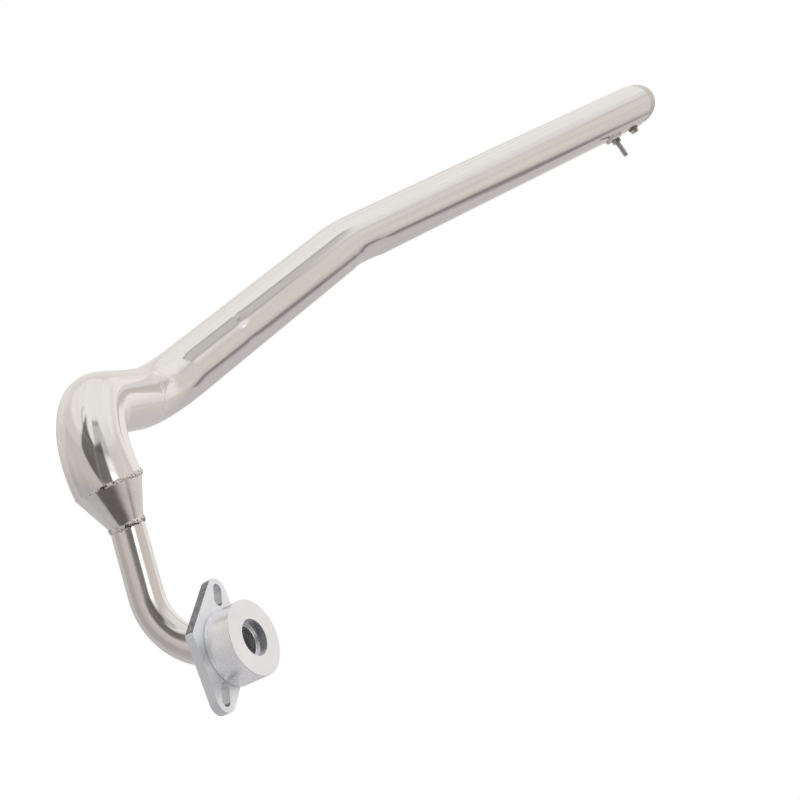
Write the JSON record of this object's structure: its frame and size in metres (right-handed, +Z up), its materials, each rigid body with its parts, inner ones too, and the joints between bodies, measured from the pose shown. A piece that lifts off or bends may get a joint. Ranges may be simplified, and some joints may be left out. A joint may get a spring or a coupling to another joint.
{
  "type": "motorcycle exhaust pipe",
  "caption": "Small motorbike's exhaust pipe: slotted flange with a thick collar, bent header, cone, elbow and a long bent tube with a slash-cut end and a bolted-in baffle.",
  "frame": {"origin": "middle of the collar's mating face, where it meets the engine's exhaust port", "axes": "-Y out of the collar towards the engine, +Z up along the line of the two slots, +X across the plate; the pipe keeps this mounted frame and hangs from the flange"},
  "size_m": [0.5637, 0.4696, 0.7579],
  "materials": {
    "polished": "polished stainless tube",
    "header": "plain drawn tube, half bright",
    "zinc": "satin turned and sawn steel",
    "weld": "rippled weld bead",
    "satin": "dull grey-brown sheet",
    "brass": "yellow passivated",
    "washer": "dark oiled",
    "fastener": "plain zinc"
  },
  "bodies": {
    "root": {"flange_plate": "zinc", "collar": "zinc", "foot_weld": "weld", "header_tube": "header", "header_weld": "weld", "cone": "polished", "cone_weld": "weld", "elbow_tube": "polished", "seam_weld": "polished", "main_tube": "polished", "tail_liner": "satin", "baffle_core": "satin", "rear_disc": "satin", "front_disc": "satin", "screw_boss": "satin", "baffle_screw": "brass", "screw_washer": "washer", "stud_saddle": "polished", "saddle_weld": "weld", "hanger_stud": "fastener", "stud_nut": "fastener"}
  },
  "joints": []
}
